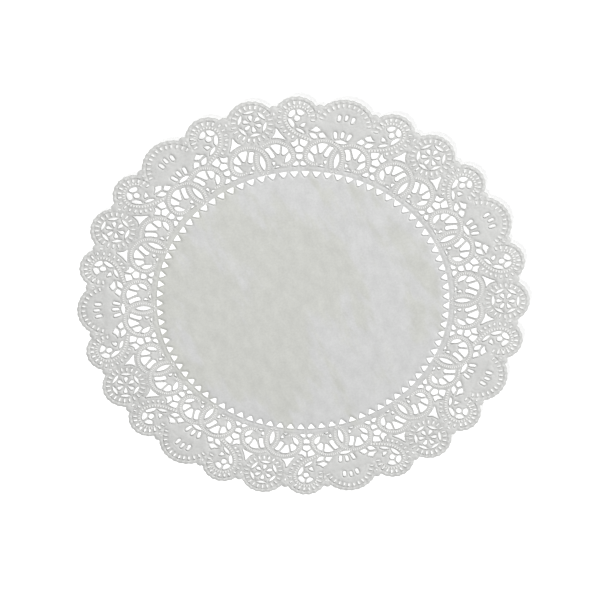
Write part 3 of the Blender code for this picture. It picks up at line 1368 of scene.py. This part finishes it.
@dataclass(frozen=True)
class Doily:
    """The sheet: its motifs, its edge, and the mesh and finish made of them."""

    thickness: float = 0.3
    bead_height: float = 0.38
    cords: Cords = Cords()
    # The edge's cord is broad, with a little painted shade along it
    edge_cords: Cords = Cords(rim_to_crest=0.1, spread=0.7, painted_shade=0.08)
    curl: Curl = Curl()
    edge: Edge = Edge()
    paper: Paper = Paper()
    parts: tuple = (ToothedRing(), FanPair(), Ground(), Rosette(), Scroll(), Panel())
    # Distances between points: on rims, on ridges, in rows beside rims, from rims, in nets, and least of all
    rim_step: float = 0.63
    ridge_step: float = 0.5
    rows: Pair = (0.42, 0.86)
    clearance: float = 0.25
    lace_radii: Pair = (76.5, 128.5)
    lace_step: float = 1.15
    middle_step: float = 3.2
    crowding: float = 0.4
    edge_run: int = 40
    sharp_angle: float = 55.0

    @cached_property
    def motifs(self) -> list[Motif]:
        """All motifs of the sheet."""
        return [motif for part in self.parts for motif in part.motifs()]

    @cached_property
    def outline(self) -> Points:
        """The sheet's edge, anticlockwise."""
        return self.edge.loop(self.rim_step)

    @cached_property
    def rims(self) -> list[tuple[Points, float]]:
        """Every opening's loop on the sheet, anticlockwise, with the strength of its cord.

        Returns:
            Pairs of a loop and a strength, motif by motif.
        """
        found = []
        for motif in self.motifs:
            for opening in motif.openings:
                loop = beside(turned_left(opening.loop()), -motif.inset, closed=True)
                loop = along(loop, self.rim_step, closed=True)
                found += [(turned_left(place.place(loop)), opening.cord) for place in motif.places]
            log.info("%s: %d openings", motif.name, len(motif.openings) * len(motif.places))
        return found

    def wanted(self) -> Points:
        """Points where the relief turns, thinned: beads, then ridges, rows beside rims, and nets.

        Returns:
            n by 2, the most wanted first.
        """
        beads, lines, rows = [], [], []
        for motif in self.motifs:
            for place in motif.places:
                for row in motif.beads:
                    beads += [place.place(row.middles()), place.place(row.rings())]
                lines += [place.place(along(ridge.path, self.ridge_step)) for ridge in motif.ridges]
        for offset in self.rows:
            rows += [beside(loop, offset, closed=True) for loop, _ in self.rims]
            rows.append(beside(self.outline, -offset, closed=True))
        nets = [net(*self.lace_radii, self.lace_step), net(0.0, self.lace_radii[0], self.middle_step)]
        found = np.vstack(beads + lines + rows + nets)
        return found[spread_out(found, self.crowding, sum(map(len, beads)))]

    def free(self) -> Points:
        """Those of the wanted points that are within the sheet's edge and clear of every rim.

        Returns:
            n by 2.
        """
        wanted = self.wanted()
        clear = self.pressed(wanted, [])
        turns, radii = np.arctan2(*self.outline.T[::-1]), np.hypot(*self.outline.T)
        order = np.argsort(turns)
        reach = np.interp(np.arctan2(*wanted.T[::-1]), turns[order], radii[order], period=2 * math.pi)
        return wanted[(clear.in_order(clear.rim_distance) > self.clearance) & (np.hypot(*wanted.T) < reach)]

    def pressed(self, points: Points, motifs: list[Motif]) -> Relief:
        """The relief, its painted shade and its painted highlights, that the rims, the edge in stretches that
        share their ends, and motifs make.

        Args:
            points: where it is wanted, n by 2.
            motifs: those whose ridges, beads and bosses are laid.

        Returns:
            The relief.
        """
        relief = Relief(points)
        for loop, strength in self.rims:
            relief.add_rim(loop, self.cords, strength)
        around = np.vstack((self.outline, self.outline[:1]))
        for i in range(0, len(self.outline), self.edge_run):
            relief.add_rim(around[i : i + self.edge_run + 1], self.edge_cords, 1.0, closed=False)
        for motif in motifs:
            for place in motif.places:
                for ridge in motif.ridges:
                    relief.add_ridge(ridge, place, self.cords)
                for row in motif.beads:
                    relief.add_beads(row, place)
                for boss in motif.bosses:
                    relief.add_boss(boss, place)
        return relief

    def build(self) -> bpy.types.Object:
        """Makes the sheet's mesh and dresses it.

        The upper face is a triangle mesh over the rims, which it keeps as edges, and over the free points.
        The underside is plain, follows the curl and spans the same rims, and a wall stands on each rim.

        Returns:
            The sheet.
        """
        loops = [self.outline] + [loop for loop, _ in self.rims]
        rim_points = np.vstack(loops)
        flat = np.vstack((rim_points, self.free()))

        sizes = np.array([len(loop) for loop in loops])
        starts = np.concatenate(([0], np.cumsum(sizes)[:-1]))
        loop_of = np.repeat(np.arange(len(loops)), sizes)
        count = len(rim_points)
        following = np.arange(count) + 1
        following[starts + sizes - 1] = starts
        rim_edges = np.stack((np.arange(count), following), axis=1)

        relief = self.pressed(flat, self.motifs)
        height = self.thickness + self.cords.height * relief.cord + self.bead_height * relief.beads
        height += relief.bosses
        lifts = self.curl.lifts(flat)
        upper = np.column_stack((flat, relief.in_order(height) + lifts))
        vertices = np.vstack((upper, np.column_stack((rim_points, lifts[:count])))) * MM

        top = self.triangles(flat, rim_edges, loop_of)
        below = self.triangles(rim_points, rim_edges, loop_of) + len(flat)
        here, there = rim_edges.T
        under_here, under_there = here + len(flat), there + len(flat)
        walls = np.vstack((
            np.column_stack((under_here, here, there)),
            np.column_stack((under_here, there, under_there)),
        ))
        # The edge runs anticlockwise round paper and a rim round air, so their walls face opposite ways
        outer = np.tile(loop_of == 0, 2)
        walls[outer] = walls[outer][:, ::-1]
        faces = np.vstack((top, below[:, ::-1], walls))

        doily = self.mesh("doily_sheet", vertices, faces)
        # The painted shade and the painted highlights go onto the mesh, for the paper's colour to read
        for name, values in (("pressed", relief.pressed), ("light", relief.light)):
            full = np.concatenate((relief.in_order(values), np.zeros(count))).astype(np.float32)
            doily.data.attributes.new(name, "FLOAT", "POINT").data.foreach_set("value", full)
        doily.data.materials.append(self.paper.material())
        log.info("doily_sheet: %d openings, %d triangles", len(self.rims), len(faces))
        return doily

    def triangles(self, points: Points, rim_edges: np.ndarray, loop_of: np.ndarray) -> np.ndarray:
        """The triangles of paper between the rims, facing up.

        A triangle with all its corners on one loop lies within that loop if it meets them in the loop's own
        order, and outside it if not. Those within an opening or outside the sheet's edge are left out.

        Args:
            points: the rims' points and then the free ones.
            rim_edges: pairs of points that stay joined.
            loop_of: the loop of each rim point, 0 for the sheet's edge.

        Returns:
            m by 3 indices of points.
        """
        # 0 asks for triangles out to the convex hull, and True for the given points behind each point
        made = delaunay_2d_cdt(list(map(Vector, points)), rim_edges.tolist(), [], 0, WELD, True)
        if len(made[0]) != len(points):
            raise RuntimeError("two rims of the sheet touch")
        sources = np.array([found[0] for found in made[3]])
        found = sources[np.array(made[2])]
        a, b, c = (points[found[:, i]] for i in range(3))
        twice = (b[:, 0] - a[:, 0]) * (c[:, 1] - a[:, 1]) - (b[:, 1] - a[:, 1]) * (c[:, 0] - a[:, 0])
        found[twice < 0] = found[twice < 0][:, ::-1]
        owner = np.full(len(points), -1)
        owner[: len(loop_of)] = loop_of
        of = owner[found]
        alone = (of[:, 0] >= 0) & (of[:, 0] == of[:, 1]) & (of[:, 1] == of[:, 2])
        first = found.argmin(1)
        rolled = np.take_along_axis(found, (first[:, None] + np.arange(3)) % 3, axis=1)
        within = rolled[:, 1] < rolled[:, 2]
        dropped = alone & np.where(of[:, 0] == 0, ~within, within)
        return found[~dropped]

    def mesh(self, name: str, vertices: np.ndarray, faces: np.ndarray) -> bpy.types.Object:
        """Puts vertices and faces into a smooth mesh, with hard edges only where it turns sharply.

        Args:
            name: the object's name.
            vertices: n by 3, in metres.
            faces: m by 3 indices.

        Returns:
            The object.
        """
        data = bpy.data.meshes.new(name)
        data.from_pydata(vertices, [], faces)
        data.polygons.foreach_set("use_smooth", np.ones(len(faces), dtype=bool))
        data.set_sharp_from_angle(angle=math.radians(self.sharp_angle))
        data.validate()
        made = bpy.data.objects.new(name, data)
        bpy.context.scene.collection.objects.link(made)
        return made


@dataclass(frozen=True)
class Backdrop:
    """The floor's finish: matt, and lit enough from within to show no tone."""

    grey: float = 0.9
    glow: float = 0.47

    def material(self) -> bpy.types.Material:
        """The shader: nothing on it varies.

        Returns:
            The material.
        """
        return Shading("floor").finished({
            "Base Color": (self.grey, self.grey, self.grey, 1.0),
            "Roughness": 1.0,
            "Specular IOR Level": 0.0,
            "Emission Color": (1.0, 1.0, 1.0, 1.0),
            "Emission Strength": self.glow,
        })


@dataclass(frozen=True)
class Studio:
    """The pale floor, the soft light, and the camera where the photograph was taken from."""

    floor_half: float = 6.0
    floor_height: float = -0.02 * MM
    backdrop: Backdrop = Backdrop()
    sky: float = 0.47
    key_strength: float = 2.34
    key_breadth: float = 30.0
    key_turn: float = 225.0
    key_height: float = 42.0
    azimuth: float = 179.731
    elevation: float = 61.968
    roll: float = 178.827
    distance: float = 1.15747
    aim: Triple = (-0.00154, 0.00284, 0.0)
    lens: float = 122.98
    sensor: float = 36.0
    clip_start: float = 0.01

    def add(self, name: str, data: bpy.types.ID) -> bpy.types.Object:
        """Puts new data into the scene as an object.

        Args:
            name: the object's name.
            data: a mesh, a light or a camera.

        Returns:
            The object.
        """
        made = bpy.data.objects.new(name, data)
        bpy.context.scene.collection.objects.link(made)
        return made

    def floor(self) -> None:
        """A wide square just under the sheet."""
        half, height = self.floor_half, self.floor_height
        corners = [(-half, -half, height), (half, -half, height), (half, half, height), (-half, half, height)]
        data = bpy.data.meshes.new("floor")
        data.from_pydata(corners, [], [(0, 1, 2, 3)])
        data.materials.append(self.backdrop.material())
        made = self.add("floor", data)

    def light(self) -> None:
        """An even white sky and one broad key light from the lower left of the photograph."""
        world = bpy.data.worlds.new("studio")
        world.use_nodes = True
        world.node_tree.nodes["Background"].inputs["Color"].default_value = (1.0, 1.0, 1.0, 1.0)
        world.node_tree.nodes["Background"].inputs["Strength"].default_value = self.sky
        bpy.context.scene.world = world
        lamp = bpy.data.lights.new("key", "SUN")
        lamp.energy = self.key_strength
        lamp.angle = math.radians(self.key_breadth)
        turn, height = math.radians(self.key_turn), math.radians(self.key_height)
        level = math.cos(height)
        towards = Vector((math.cos(turn) * level, math.sin(turn) * level, math.sin(height)))
        key = self.add("key", lamp)
        key.rotation_mode = "QUATERNION"
        key.rotation_quaternion = towards.to_track_quat("Z", "Y")

    def camera(self) -> None:
        """A camera that looks back along its own axis from the aim, rolled about that axis."""
        turn, rise, roll = (math.radians(a) for a in (self.azimuth, self.elevation, self.roll))
        back = Vector((math.sin(turn) * math.cos(rise), -math.cos(turn) * math.cos(rise), math.sin(rise)))
        level = Vector((math.cos(turn), math.sin(turn), 0.0))
        upright = back.cross(level)
        right = level * math.cos(roll) + upright * math.sin(roll)
        up = upright * math.cos(roll) - level * math.sin(roll)
        lens = bpy.data.cameras.new("camera")
        lens.lens = self.lens
        lens.sensor_width = self.sensor
        lens.clip_start = self.clip_start
        made = self.add("camera", lens)
        axes = Matrix((right, up, back)).transposed().to_4x4()
        made.matrix_world = Matrix.Translation(Vector(self.aim) + back * self.distance) @ axes
        bpy.context.scene.camera = made

    def build(self) -> None:
        """Sets up the floor, the light and the camera."""
        self.floor()
        self.light()
        self.camera()
        bpy.context.scene.view_settings.view_transform = "Standard"


def main() -> None:
    """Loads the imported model, builds the sheet over it, and sets up the studio."""
    logging.basicConfig(level=logging.INFO, format="%(name)s: %(message)s")
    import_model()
    doily = Doily().build()
    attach(doily, "root")
    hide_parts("doily")
    Studio().build()


if __name__ == "__main__":
    main()
